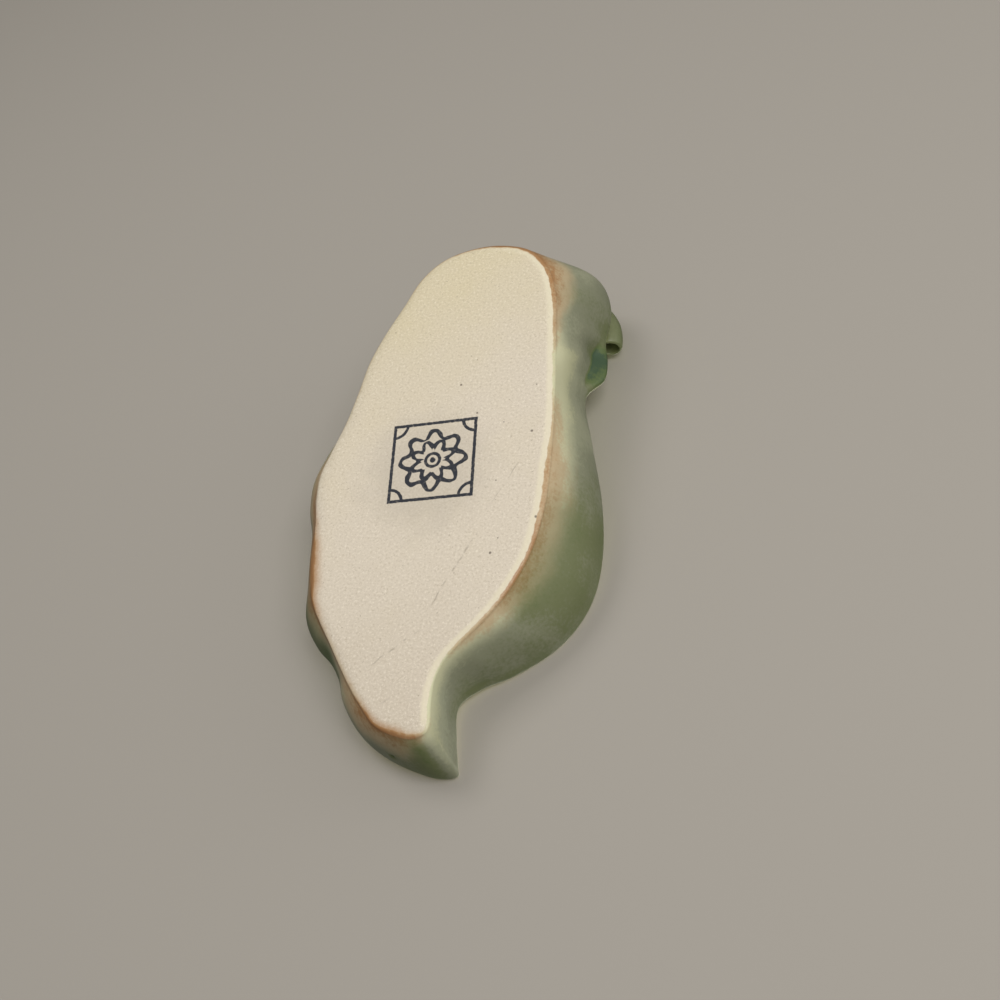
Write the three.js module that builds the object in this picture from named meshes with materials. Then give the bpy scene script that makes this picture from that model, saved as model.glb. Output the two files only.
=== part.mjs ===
// Leaf-shaped ceramic incense holder: a shallow tray in the shape of a leaf with a wavy rim and a drawn-out tip,
// and a hollow stem that curls over the rim and holds the incense stick in its open end.
// Millimetres, +Z up. The flat unglazed foot lies on z = 0, the leaf's tip points to -Y and the stem is at +Y.
import * as THREE from 'three';

// Driving dimensions of the tray
const FLOOR_THICKNESS = 4.0; // clay under the middle of the tray
const LIP_THICKNESS = 2.4; // rim, measured towards the middle of the leaf
const FLOOR_INSET = 5.2; // wall at the height of the tray's floor
const FOOT_BEVEL_WIDTH = 1.8; // wiped edge of the unglazed foot
const FOOT_BEVEL_HEIGHT = 0.9;
const GROOVE_SHARE = 0.85; // where the wall is drawn in the most under the rim, as a share of its height

// Driving dimensions of the veins, raised on the tray's floor: a midrib and side veins that fork
const VEIN_HEIGHT = 0.7;
const MIDRIB_WIDTH = 1.7;
const VEIN_WIDTH = 1.3;
const VEIN_PITCH = 13;
const VEIN_SHARE = 0.75; // height of a side vein at the midrib, as a share of the midrib's
const VEIN_SLOPE = 0.55; // how far the side veins lean towards the tip
const VEIN_CURVE = 0.012;
const VEIN_REACH = 27; // where a side vein has thinned out
const VEIN_TAPER = 0.4;
const FORK_START = 11; // from the midrib to where a side vein forks
const FORK_SPREAD = 3.4;
const VEIN_END_Y = 27; // the veins fade out before the stem's root
const VEIN_FADE = 8;

// Driving dimensions of the stem
const SOCKET_MOUTH_RADIUS = 2.3; // flared mouth that takes the stick
const SOCKET_THROAT_RADIUS = 1.6; // where a 2 to 3 mm stick grips
const SOCKET_FLARE = 6;
const SOCKET_DEPTH = 16;
const MOUTH_ROUNDING = 0.5; // along the stem, from the bar's outside to the mouth

// Resolution
const POINTS_PER_ROW = 4;
const EDGE_STEPS = 3;
const WALL_SHARES = [0.13, 0.28, 0.43, 0.58, 0.7, 0.79, 0.85, 0.91, 1];
const LIP_STEPS = 4;
const INSIDE_SHARES = [0.08, 0.16, 0.35, 0.55, 0.75, 1];
const FLOOR_SHARES = [0.16, 0.32, 0.48, 0.62, 0.75, 0.86, 0.93, 0.98];
const STEM_SIDES = 16;
const STEM_STEPS = 44;
const MOUTH_STEPS = 3;

// Outline of the leaf, anticlockwise from the tip. Each row is the foot's x and y, the rim's x, y and z, how round
// the wall is (1 is straight), and how far the wall is drawn in under the rim.
const OUTLINE = [
  [-8.9, -52.1, -11.6, -56.4, 13.2, 1.5, 0],
  [-6.4, -53.6, -8.6, -57.4, 13.0, 1.6, 0],
  [-2.2, -53.4, -2.5, -56.6, 12.9, 1.7, 0],
  [2.0, -51.9, 4.2, -54.4, 12.8, 1.8, 0],
  [5.3, -48.9, 9.4, -51.2, 12.8, 1.8, 0],
  [8.9, -44.9, 13.8, -46.4, 12.6, 1.7, 0],
  [11.6, -41.5, 16.6, -41.2, 12.2, 1.3, 0],
  [14.9, -37.2, 19.4, -37.8, 12.2, 1.2, 0],
  [18.0, -33.3, 23.6, -34.6, 13.0, 1.5, 0],
  [21.2, -28.9, 27.6, -29.6, 13.6, 1.5, 0],
  [23.1, -23.7, 29.0, -23.0, 13.8, 1.4, 0],
  [24.3, -18.4, 30.2, -17.0, 13.6, 1.4, 0],
  [25.2, -12.3, 31.5, -10.6, 13.0, 1.4, 0],
  [26.6, -6.4, 34.3, -4.0, 13.6, 1.4, 0],
  [27.2, -0.8, 34.9, 1.6, 14.2, 1.6, 0],
  [26.2, 4.9, 33.8, 7.6, 14.2, 1.5, 0],
  [24.7, 11.8, 29.4, 14.0, 13.8, 1.4, 0],
  [23.8, 19.2, 27.6, 21.2, 13.8, 1.5, 0],
  [23.1, 26.9, 27.2, 28.6, 14.2, 1.6, 0],
  [21.3, 34.0, 26.4, 36.4, 15.0, 1.7, 0],
  [18.5, 41.8, 24.0, 44.8, 16.0, 1.7, 0],
  [15.9, 49.1, 20.3, 52.9, 17.0, 1.6, 0],
  [11.8, 54.1, 14.6, 59.0, 17.8, 1.5, 0],
  [5.8, 57.0, 6.6, 62.0, 18.2, 1.4, 0],
  [-1.1, 57.9, -1.8, 63.2, 18.4, 1.4, 0],
  [-8.4, 56.2, -11.0, 63.4, 18.8, 1.4, 0],
  [-13.6, 50.8, -19.0, 61.0, 19.6, 1.6, 0],
  [-16.4, 43.6, -22.5, 54.0, 20.0, 1.8, 0],
  [-17.5, 37.8, -22.6, 45.4, 20.0, 1.9, 0.3],
  [-18.3, 33.0, -24.0, 39.6, 19.6, 1.9, 2.8],
  [-18.9, 29.0, -24.4, 34.4, 18.4, 1.9, 3.2],
  [-19.7, 24.0, -21.7, 28.6, 16.4, 1.9, 0.2],
  [-21.3, 13.1, -25.0, 17.0, 16.0, 1.9, 0],
  [-22.5, 1.9, -29.0, 4.0, 16.6, 2.1, 0],
  [-22.8, -6.9, -30.9, -6.8, 17.2, 2.2, 0],
  [-21.8, -15.4, -30.8, -16.0, 17.4, 2.2, 0],
  [-19.3, -22.9, -28.8, -22.8, 17.2, 2.1, 0],
  [-15.7, -29.4, -25.0, -28.9, 16.6, 1.9, 0],
  [-11.2, -35.4, -17.8, -35.2, 15.8, 1.5, 0.3],
  [-9.1, -38.7, -12.0, -38.8, 15.0, 1.3, 0.4],
  [-8.2, -42.6, -8.6, -42.8, 14.2, 1.2, 0],
  [-8.6, -47.2, -9.7, -49.6, 13.6, 1.3, 0],
  [-9.2, -50.6, -11.2, -54.8, 13.3, 1.4, 0],
];

// Middle line that the leaf's walls lean away from: straight, and bent into the tail
const SPINE_X = 2;
const SPINE_HEAD_Y = 44;
const SPINE_BEND_Y = -36;
const SPINE_TAIL = [-4, -49];
const LEAST_SHARE = 0.3; // a point keeps this share of its distance from the middle line

// Middle of the stem from its root inside the leaf to its open end over the rim, with the bar's radius there
const STEM_PATH = [
  [2.0, 27.0, 5.4, 1.0],
  [2.0, 31.0, 7.0, 2.4],
  [2.3, 36.5, 9.2, 3.9],
  [3.2, 44.0, 12.8, 4.4],
  [2.6, 51.0, 19.5, 4.2],
  [-2.0, 57.0, 26.0, 4.0],
  [-9.5, 59.5, 28.6, 3.9],
  [-15.6, 57.9, 28.0, 3.7],
  [-19.8, 53.8, 26.4, 3.3],
  [-21.4, 50.2, 25.7, 3.1],
  [-21.9, 47.3, 25.7, 2.9],
];

const { lerp, clamp, smoothstep } = THREE.MathUtils;

function bell(distance, width) {
  return Math.exp(-((distance / width) ** 2));
}

// A smooth closed curve through points, sampled at every station around the leaf
function aroundLeaf(points) {
  const curve = new THREE.CatmullRomCurve3(points, true, 'centripetal');
  const count = OUTLINE.length * POINTS_PER_ROW;
  return Array.from({ length: count }, (_, i) => curve.getPoint(i / count));
}

// Foot and rim at every station, with the wall's shape easing from row to row
function leafStations() {
  const feet = aroundLeaf(OUTLINE.map(([x, y]) => new THREE.Vector3(x, y, 0)));
  const rims = aroundLeaf(OUTLINE.map(([, , x, y, z]) => new THREE.Vector3(x, y, z)));
  return feet.map((foot, station) => {
    const row = Math.floor(station / POINTS_PER_ROW);
    const [, , , , , roundness, groove] = OUTLINE[row];
    const [, , , , , nextRoundness, nextGroove] = OUTLINE[(row + 1) % OUTLINE.length];
    const share = smoothstep(station / POINTS_PER_ROW - row, 0, 1);
    return {
      foot,
      rim: rims[station],
      roundness: lerp(roundness, nextRoundness, share),
      groove: lerp(groove, nextGroove, share),
    };
  });
}

// The point of the middle line that a point at this y leans away from
function spineNear(y) {
  if (y >= SPINE_BEND_Y) {
    return new THREE.Vector2(SPINE_X, Math.min(y, SPINE_HEAD_Y));
  }
  const share = Math.min(1, (y - SPINE_BEND_Y) / (SPINE_TAIL[1] - SPINE_BEND_Y));
  return new THREE.Vector2(lerp(SPINE_X, SPINE_TAIL[0], share), lerp(SPINE_BEND_Y, SPINE_TAIL[1], share));
}

// A point moved towards the middle line by a distance, and set at a height
function inward(point, distance, z = point.z) {
  const spine = spineNear(point.y);
  const away = new THREE.Vector2(point.x, point.y).sub(spine);
  away.multiplyScalar(Math.max(LEAST_SHARE, 1 - distance / away.length()));
  return new THREE.Vector3(spine.x + away.x, spine.y + away.y, z);
}

// How much of the groove's depth the wall is drawn in at a share of its height. It opens out again at the rim.
function drawnInShare(share) {
  return smoothstep(share, 0, GROOVE_SHARE) * (1 - smoothstep(share, GROOVE_SHARE, 1));
}

// The wall at a share of its height, moved in from its outside by a thickness
function wallPoint({ foot, rim, roundness, groove }, share, thickness = 0) {
  const outward = 1 - (1 - share) ** roundness;
  const point = new THREE.Vector3().lerpVectors(foot, rim, outward);
  const drawnIn = groove * drawnInShare(share);
  return inward(point, thickness + drawnIn, lerp(FOOT_BEVEL_HEIGHT, rim.z, share));
}

// The wall's inside, from the lip at 0 to the edge of the tray's floor at 1
function insidePoint(station, share) {
  const turn = (share * Math.PI) / 2;
  const height = lerp(station.rim.z, FLOOR_THICKNESS, Math.sin(turn));
  const wallShare = (height - FOOT_BEVEL_HEIGHT) / (station.rim.z - FOOT_BEVEL_HEIGHT);
  return wallPoint(station, wallShare, lerp(FLOOR_INSET, LIP_THICKNESS, Math.cos(turn)));
}

function edgePoint({ foot }, share) {
  const turn = (share * Math.PI) / 2;
  const height = FOOT_BEVEL_HEIGHT * (1 - Math.cos(turn));
  return inward(foot, FOOT_BEVEL_WIDTH * (1 - Math.sin(turn)), height);
}

function lipPoint({ rim }, share) {
  const turn = share * Math.PI;
  const radius = LIP_THICKNESS / 2;
  return inward(rim, radius * (1 - Math.cos(turn)), rim.z + radius * Math.sin(turn));
}

// Height of the veins at a point of the floor. The side veins of one half lie between those of the other.
function veinRelief(x, y) {
  const middle = spineNear(y).x;
  const side = Math.abs(x - middle);
  const halfPitch = x > middle ? VEIN_PITCH / 2 : 0;
  const along = y + VEIN_SLOPE * side + VEIN_CURVE * side ** 2 + halfPitch;
  const offset = Math.abs(along - VEIN_PITCH * Math.round(along / VEIN_PITCH));
  const fork = FORK_SPREAD * smoothstep(side, FORK_START, VEIN_REACH);
  const thinner = 1 - VEIN_TAPER * smoothstep(side, 0, VEIN_REACH);
  const sideVein = VEIN_SHARE * thinner * bell(offset - fork, VEIN_WIDTH * thinner);
  const fade = clamp((VEIN_END_Y - y) / VEIN_FADE, 0, 1);
  return VEIN_HEIGHT * fade * Math.max(bell(side, MIDRIB_WIDTH), sideVein);
}

// The tray's floor, from its edge at 0 to the leaf's middle line at 1
function floorPoint(station, share) {
  const edge = insidePoint(station, 1);
  const spine = spineNear(edge.y);
  const x = lerp(edge.x, spine.x, share);
  const y = lerp(edge.y, spine.y, share);
  return new THREE.Vector3(x, y, FLOOR_THICKNESS + veinRelief(x, y));
}

// Triangles that close a ring that lies about level
function levelCap(ring) {
  return THREE.ShapeUtils.triangulateShape(ring.map(({ x, y }) => new THREE.Vector2(x, y)), []);
}

// Triangles that close a round ring at any tilt
function roundCap(ring) {
  return Array.from({ length: ring.length - 2 }, (_, i) => [0, i + 1, i + 2]);
}

// One closed solid from rings of points, with both ends closed by the same kind of cap
function solidFromRings(rings, capOf) {
  const around = rings[0].length;
  const last = rings.length - 1;
  const positions = rings.flat().flatMap(({ x, y, z }) => [x, y, z]);
  const at = (ring, i) => ring * around + (i % around);
  const triangles = [
    ...capOf(rings[0]).flatMap(([a, b, c]) => [at(0, a), at(0, c), at(0, b)]),
    ...capOf(rings[last]).flatMap(([a, b, c]) => [at(last, a), at(last, b), at(last, c)]),
  ];
  for (let ring = 0; ring < last; ring += 1) {
    for (let i = 0; i < around; i += 1) {
      triangles.push(at(ring, i), at(ring, i + 1), at(ring + 1, i));
      triangles.push(at(ring, i + 1), at(ring + 1, i + 1), at(ring + 1, i));
    }
  }
  const geometry = new THREE.BufferGeometry();
  geometry.setAttribute('position', new THREE.Float32BufferAttribute(positions, 3));
  geometry.setIndex(triangles);
  geometry.computeVertexNormals();
  return geometry;
}

function evenShares(steps) {
  return Array.from({ length: steps }, (_, i) => (i + 1) / steps);
}

function leafTray() {
  const stations = leafStations();
  const ringOf = (pointAt, share) => stations.map((station) => pointAt(station, share));
  const rings = [
    ...[0, ...evenShares(EDGE_STEPS)].map((share) => ringOf(edgePoint, share)),
    ...WALL_SHARES.map((share) => ringOf(wallPoint, share)),
    ...evenShares(LIP_STEPS).map((share) => ringOf(lipPoint, share)),
    ...INSIDE_SHARES.map((share) => ringOf(insidePoint, share)),
    ...FLOOR_SHARES.map((share) => ringOf(floorPoint, share)),
  ];
  return solidFromRings(rings, levelCap);
}

// The bar's radius at a share of the stem's length
function stemRadiusAt(curve, share) {
  const radii = STEM_PATH.map(([, , , radius]) => radius);
  const along = curve.getUtoTmapping(share) * (radii.length - 1);
  const index = Math.min(radii.length - 2, Math.floor(along));
  return lerp(radii[index], radii[index + 1], along - index);
}

function leafStem() {
  const curve = new THREE.CatmullRomCurve3(
    STEM_PATH.map(([x, y, z]) => new THREE.Vector3(x, y, z)),
    false,
    'centripetal',
  );
  const length = curve.getLength();
  const { tangents, normals, binormals } = curve.computeFrenetFrames(STEM_STEPS, false);
  const ringAt = (step, radius, back = 0) => {
    const middle = curve.getPointAt(step / STEM_STEPS).addScaledVector(tangents[step], -back);
    return Array.from({ length: STEM_SIDES }, (_, side) => {
      const angle = (2 * Math.PI * side) / STEM_SIDES;
      return middle
        .clone()
        .addScaledVector(normals[step], radius * Math.cos(angle))
        .addScaledVector(binormals[step], radius * Math.sin(angle));
    });
  };
  const bar = Array.from({ length: STEM_STEPS }, (_, step) => ringAt(step, stemRadiusAt(curve, step / STEM_STEPS)));
  const tipRadius = stemRadiusAt(curve, 1);
  const mouth = [0, ...evenShares(MOUTH_STEPS)].map((share) => {
    const turn = (share * Math.PI) / 2;
    const radius = lerp(SOCKET_MOUTH_RADIUS, tipRadius, Math.cos(turn));
    return ringAt(STEM_STEPS, radius, MOUTH_ROUNDING * (1 - Math.sin(turn)));
  });
  const socketSteps = Math.round((SOCKET_DEPTH / length) * STEM_STEPS);
  const socket = evenShares(socketSteps).map((share, i) => {
    const flare = Math.min(1, (share * SOCKET_DEPTH) / SOCKET_FLARE);
    return ringAt(STEM_STEPS - 1 - i, lerp(SOCKET_MOUTH_RADIUS, SOCKET_THROAT_RADIUS, flare));
  });
  return solidFromRings([...bar, ...mouth, ...socket], roundCap);
}

const glaze = new THREE.MeshStandardMaterial({ color: 0xa9b58d, roughness: 0.42, metalness: 0 });

function named(name, geometry, material) {
  const mesh = new THREE.Mesh(geometry, material);
  mesh.name = name;
  return mesh;
}

const holder = new THREE.Group();
holder.add(named('leaf_tray', leafTray(), glaze));
holder.add(named('leaf_stem', leafStem(), glaze.clone()));

export default holder;
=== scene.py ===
"""Leaf-shaped celadon incense holder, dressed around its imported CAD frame.

The holder stands on its foot, on z = 0, the way it is used. The camera looks up at the bare foot, as the
photograph does of the holder lying upside down, so a second pale floor lies against the rim and the stem for
that view. Lengths are in millimetres until a mesh is made, and MM turns them into metres.
"""

import math

import bpy
import numpy as np
from mathutils import Matrix, Vector


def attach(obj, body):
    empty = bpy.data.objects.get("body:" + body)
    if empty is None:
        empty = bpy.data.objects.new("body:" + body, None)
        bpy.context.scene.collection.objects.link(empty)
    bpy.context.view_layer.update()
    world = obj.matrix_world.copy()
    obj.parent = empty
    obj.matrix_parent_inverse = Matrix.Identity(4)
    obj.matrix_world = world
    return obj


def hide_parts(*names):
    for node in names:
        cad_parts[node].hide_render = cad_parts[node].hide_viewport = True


MM = 0.001

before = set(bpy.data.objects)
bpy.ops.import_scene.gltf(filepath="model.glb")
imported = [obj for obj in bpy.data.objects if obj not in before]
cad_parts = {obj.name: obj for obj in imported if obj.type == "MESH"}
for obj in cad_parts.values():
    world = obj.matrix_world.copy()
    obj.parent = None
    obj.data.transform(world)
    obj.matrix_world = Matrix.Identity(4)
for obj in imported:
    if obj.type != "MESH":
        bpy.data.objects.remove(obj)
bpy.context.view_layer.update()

# The leaf, as its CAD solid has it
FLOOR_THICKNESS = 4.0
LIP_THICKNESS = 2.4
FLOOR_INSET = 5.2
FOOT_BEVEL_HEIGHT = 0.9
GROOVE_SHARE = 0.85
SPINE_X = 2.0
SPINE_HEAD_Y = 44.0
SPINE_BEND_Y = -36.0
SPINE_TAIL = (-4.0, -49.0)
LEAST_SHARE = 0.3
FAN_CENTRE = (5.0, -22.0)

# Veins of the leaf, raised on the tray's floor and up its wall. The side veins fork towards the rim, and
# VEIN_RISE holds the shares of the way down from the lip between which they rise.
VEIN_HEIGHT = 0.7
MIDRIB_WIDTH = 1.7
VEIN_WIDTH = 1.3
VEIN_PITCH = 13.0
VEIN_SHARE = 0.75
VEIN_SLOPE = 0.55
VEIN_CURVE = 0.012
VEIN_REACH = 27.0
VEIN_TAPER = 0.4
FORK_START = 11.0
FORK_SPREAD = 3.4
VEIN_END_Y = 33.0
VEIN_FADE = 8.0
VEIN_RISE = (0.05, 0.4)

# Outline of the leaf, anticlockwise from the tip. Each row is the foot's x and y, the rim's x, y and z, how
# round the wall is (1 is straight) and how deep a groove draws it in under the rim.
OUTLINE = [
    (-8.9, -52.1, -11.6, -56.4, 13.2, 1.5, 0.0),
    (-6.4, -53.6, -8.6, -57.4, 13.0, 1.6, 0.0),
    (-2.2, -53.4, -2.5, -56.6, 12.9, 1.7, 0.0),
    (2.0, -51.9, 4.2, -54.4, 12.8, 1.8, 0.0),
    (5.3, -48.9, 9.4, -51.2, 12.8, 1.8, 0.0),
    (8.9, -44.9, 13.8, -46.4, 12.6, 1.7, 0.0),
    (11.6, -41.5, 16.6, -41.2, 12.2, 1.3, 0.0),
    (14.9, -37.2, 19.4, -37.8, 12.2, 1.2, 0.0),
    (18.0, -33.3, 23.6, -34.6, 13.0, 1.5, 0.0),
    (21.2, -28.9, 27.6, -29.6, 13.6, 1.5, 0.0),
    (23.1, -23.7, 29.0, -23.0, 13.8, 1.4, 0.0),
    (24.3, -18.4, 30.2, -17.0, 13.6, 1.4, 0.0),
    (25.2, -12.3, 31.5, -10.6, 13.0, 1.4, 0.0),
    (26.6, -6.4, 34.3, -4.0, 13.6, 1.4, 0.0),
    (27.2, -0.8, 34.9, 1.6, 14.2, 1.6, 0.0),
    (26.2, 4.9, 33.8, 7.6, 14.2, 1.5, 0.0),
    (24.7, 11.8, 29.4, 14.0, 13.8, 1.4, 0.0),
    (23.8, 19.2, 27.6, 21.2, 13.8, 1.5, 0.0),
    (23.1, 26.9, 27.2, 28.6, 14.2, 1.6, 0.0),
    (21.3, 34.0, 26.4, 36.4, 15.0, 1.7, 0.0),
    (18.5, 41.8, 24.0, 44.8, 16.0, 1.7, 0.0),
    (15.9, 49.1, 20.3, 52.9, 17.0, 1.6, 0.0),
    (11.8, 54.1, 14.6, 59.0, 17.8, 1.5, 0.0),
    (5.8, 57.0, 6.6, 62.0, 18.2, 1.4, 0.0),
    (-1.1, 57.9, -1.8, 63.2, 18.4, 1.4, 0.0),
    (-8.4, 56.2, -11.0, 63.4, 18.8, 1.4, 0.0),
    (-13.6, 50.8, -19.0, 61.0, 19.6, 1.6, 0.0),
    (-16.4, 43.6, -22.5, 54.0, 20.0, 1.8, 0.0),
    (-17.5, 37.8, -22.6, 45.4, 20.0, 1.9, 0.3),
    (-18.3, 33.0, -24.0, 39.6, 19.6, 1.9, 2.8),
    (-18.9, 29.0, -24.4, 34.4, 18.4, 1.9, 3.2),
    (-19.7, 24.0, -21.7, 28.6, 16.4, 1.9, 0.2),
    (-21.3, 13.1, -25.0, 17.0, 16.0, 1.9, 0.0),
    (-22.5, 1.9, -29.0, 4.0, 16.6, 2.1, 0.0),
    (-22.8, -6.9, -30.9, -6.8, 17.2, 2.2, 0.0),
    (-21.8, -15.4, -30.8, -16.0, 17.4, 2.2, 0.0),
    (-19.3, -22.9, -28.8, -22.8, 17.2, 2.1, 0.0),
    (-15.7, -29.4, -25.0, -28.9, 16.6, 1.9, 0.0),
    (-11.2, -35.4, -17.8, -35.2, 15.8, 1.5, 0.3),
    (-9.1, -38.7, -12.0, -38.8, 15.0, 1.3, 0.4),
    (-8.2, -42.6, -8.6, -42.8, 14.2, 1.2, 0.0),
    (-8.6, -47.2, -9.7, -49.6, 13.6, 1.3, 0.0),
    (-9.2, -50.6, -11.2, -54.8, 13.3, 1.4, 0.0),
]

# The glaze at each row of the outline: how wide the band along the foot is, how orange it is from 0 to 1, how
# strong the brown line next to the clay is from 0 to 1, how thick the glaze is from -1, thin and pale, to 1,
# thick and green, which also stands in for painted shade on walls turned from the main light and at the tip,
# how much thicker it is along the rim than along the foot, which is partly painted shade towards the rim, how
# far inside the foot's edge it starts, and how far the orange stains the clay.
GLAZE_AND_SHADE = [
    (1.6, 0.2, 0.1, -0.2, 1.1, 0.7, 0.8),
    (3.0, 0.8, 0.8, 0.9, 0.2, 1.1, 1.5),
    (7.0, 0.9, 1.0, 0.35, 0.2, 1.1, 2.5),
    (6.0, 0.9, 1.0, -0.05, 0.2, 1.0, 2.8),
    (8.0, 0.9, 0.9, -0.35, 0.2, 0.9, 2.8),
    (8.0, 0.6, 0.5, -0.1, 0.2, 0.4, 2.6),
    (5.0, 0.5, 0.4, 0.3, 0.2, 0.2, 2.4),
    (4.0, 0.5, 0.6, 0.7, 0.2, 0.1, 2.6),
    (5.0, 0.7, 0.8, 0.7, 0.2, 0.1, 3.0),
    (6.0, 1.0, 1.0, 0.5, 0.2, 0.8, 3.0),
    (7.0, 1.0, 1.0, 0.1, 0.2, 1.5, 3.4),
    (7.0, 1.0, 0.9, -0.2, 0.2, 1.5, 3.0),
    (7.0, 0.9, 0.8, -0.2, 0.2, 0.2, 2.8),
    (8.0, 0.8, 0.4, -0.1, 0.2, -1.0, 2.6),
    (8.0, 0.6, 0.1, -0.1, 0.2, -1.0, 2.4),
    (3.0, 0.4, 0.3, 0.1, 0.3, -0.4, 1.4),
    (3.0, 0.4, 0.3, 0.1, 0.3, 0.2, 1.4),
    (3.0, 0.4, 0.3, 0.1, 0.3, 0.2, 1.4),
    (3.0, 0.4, 0.3, 0.1, 0.3, 0.2, 1.4),
    (3.0, 0.4, 0.3, 0.1, 0.3, 0.2, 1.4),
    (3.0, 0.4, 0.3, 0.1, 0.3, 0.2, 1.4),
    (2.6, 0.5, 0.5, 0.1, 0.3, 0.4, 1.4),
    (2.8, 0.7, 0.7, 0.1, 0.3, 0.5, 1.2),
    (3.0, 0.9, 0.9, 0.1, 0.3, 0.7, 1.0),
    (3.4, 1.0, 1.0, -0.1, 0.3, 1.0, 0.8),
    (7.0, 1.0, 0.5, -0.1, 0.2, 1.2, 0.6),
    (8.0, 0.9, 0.15, -0.1, 0.2, 1.2, 0.3),
    (6.5, 0.85, 0.2, 0.3, 0.2, 1.2, 0.2),
    (2.6, 0.65, 0.3, 0.1, 0.7, 1.0, 0.1),
    (2.4, 0.4, 0.3, -0.1, 0.9, 0.9, 0.1),
    (4.5, 0.1, 0.0, -0.6, 1.2, 0.9, 0.1),
    (5.0, 0.1, 0.0, -0.7, 1.2, 0.8, 0.1),
    (5.5, 0.45, 0.1, -0.6, 0.6, 0.7, 0.1),
    (6.5, 0.65, 0.1, 0.15, 0.3, 1.3, 0.1),
    (6.0, 0.8, 0.15, 0.6, 0.0, 1.2, 0.1),
    (5.5, 0.9, 0.2, 0.65, -0.3, 0.9, 0.1),
    (5.0, 0.9, 0.2, 0.6, -0.3, 0.9, 0.1),
    (4.0, 0.6, 0.2, 0.15, 0.3, 0.9, 0.1),
    (2.6, 0.4, 0.1, 0.2, 0.5, 0.8, 0.1),
    (2.0, 0.1, 0.0, -0.2, 0.4, 0.5, 0.1),
    (2.2, 0.0, 0.0, -0.5, 0.8, 0.5, 0.1),
    (2.4, 0.1, 0.0, -0.6, 0.7, 0.8, 0.1),
    (2.0, 0.2, 0.0, -0.5, 0.8, 0.9, 0.4),
]

# Middle of the stem from its root inside the leaf to its open end over the rim, with the bar's radius there
STEM_PATH = [
    (2.0, 26.0, 4.3, 0.9),
    (2.0, 31.0, 6.8, 2.5),
    (2.3, 36.5, 9.2, 3.9),
    (3.2, 44.0, 12.8, 4.4),
    (2.6, 51.0, 19.5, 4.2),
    (-2.0, 57.0, 26.0, 4.0),
    (-9.5, 59.5, 28.6, 3.9),
    (-15.6, 57.9, 28.0, 3.7),
    (-19.8, 53.8, 26.4, 3.3),
    (-21.4, 50.2, 25.7, 3.1),
    (-21.9, 47.3, 25.7, 2.9),
]
SOCKET_MOUTH_RADIUS = 2.3
SOCKET_THROAT_RADIUS = 1.6
SOCKET_FLARE = 6.0
SOCKET_DEPTH = 16.0
MOUTH_ROUNDING = 0.5

# The foot's edge is worn rounder than its CAD bevel, with shallow dents from the knife
WORN_WIDTH = 3.2
WORN_DENTS = 0.22

# Waves that make up the dents: how many go around the foot, where each starts and its share of the whole
DENT_WAVES = [
    (23, 0.0, 0.4),
    (41, 1.3, 0.35),
    (67, 0.4, 0.25),
]

# Above the groove's deepest line, the glaze is a step thicker for every so many millimetres of the groove's
# depth, as pooled glaze and as painted shade under the flared lip
GROOVE_POOL_AND_SHADE = 2.2
GROOVE_POOL_AND_SHADE_BLUR = 0.03

# It gathers in hollows of the outline and runs thin on ridges, read over this many stations to each side
HOLLOW_REACH = 14
HOLLOW_GAIN = 9.0
HOLLOW_POOL = 0.35

# Shares of the wall's height between which hollows come to show in the glaze, and the share above which the
# glaze, with the shade painted into it, gets no thicker or thinner
HOLLOW_RISE = (0.1, 0.5)
RUN_AND_SHADE_TOP = 0.9

# In the tray it pools below a height and runs thin over the veins, and it is thin on the lip
TRAY_POOL_HEIGHT = 9.0
TRAY_POOL = 0.75
VEIN_THINNING = 1.3
LIP_GLAZE = 0.5
STEM_GLAZE = 0.5

# Distances past the clay for the lip and for the tray, where the band along the foot has long ended
PAST_TO_LIP = 3.0
PAST_IN_TRAY = 60.0

# Printed square on the foot: where its middle lies, which way its top points, and its sizes. The dot in its
# middle is that many lines wide.
SEAL_CENTRE = (2.5, 3.3)
SEAL_UP = (0.148, 0.989)
SEAL_HALF = 8.75
SEAL_LINE = 0.34
SEAL_LINE_WAVER = 0.24
SEAL_CORNER = 2.7
SEAL_RING = 1.5
SEAL_DOT = 1.8
INK_BLUR = 0.07

# The flower in it: its petals, and for each of its two lines the mean radius, the swing and where that starts
PETAL_COUNT = 8
PETAL_LINES = [
    (6.1, 0.9, 0.0),
    (3.9, 0.7, math.pi),
]
BRUSH_SWELL = 1.0
BRUSH_LEAST = -0.05

# The grey smudge around the square: its middle, where it starts to fade and ends, and how uneven that is
SMUDGE_CENTRE = (3.4, 0.6)
SMUDGE_CORE = 13.0
SMUDGE_REACH = 24.0
SMUDGE_WANDER = 12.0

# Dark specks in the clay with their radii, and scratches with their ends and widths
SPECKS = [
    (0.2, 21.2, 0.26),
    (-4.8, 14.5, 0.24),
    (-17.3, 10.6, 0.3),
    (-21.6, -8.2, 0.3),
    (-14.0, -16.4, 0.28),
    (-11.0, 12.5, 0.15),
    (-12.0, -0.8, 0.15),
    (-14.9, -13.2, 0.15),
    (-16.3, 21.5, 0.15),
]
SCRATCHES = [
    ((-10.6, -11.5), (-4.1, -28.8), 0.3),
    ((-3.5, -32.6), (5.7, -41.6), 0.25),
    ((-0.9, -46.2), (1.4, -48.4), 0.3),
    ((-16.1, 3.9), (-10.6, -9.0), 0.2),
]
SCRATCH_FADE = 2.0
SCRATCH_WANDER = 1.2

# A pit in the glaze near the leaf's tip, and how much thicker the glaze is in it
PIT = (0.3, -55.3, 8.6)
PIT_WIDTH = 0.55
PIT_DEPTH = 0.4
PIT_POOL = 1.5

# The floor lies this far under the foot, in metres, so that the two planes never share a place
FLOOR_DROP = 0.0002

# The floors fade out between these distances, in metres
FADE_START = 0.4
FADE_END = 1.0

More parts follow.
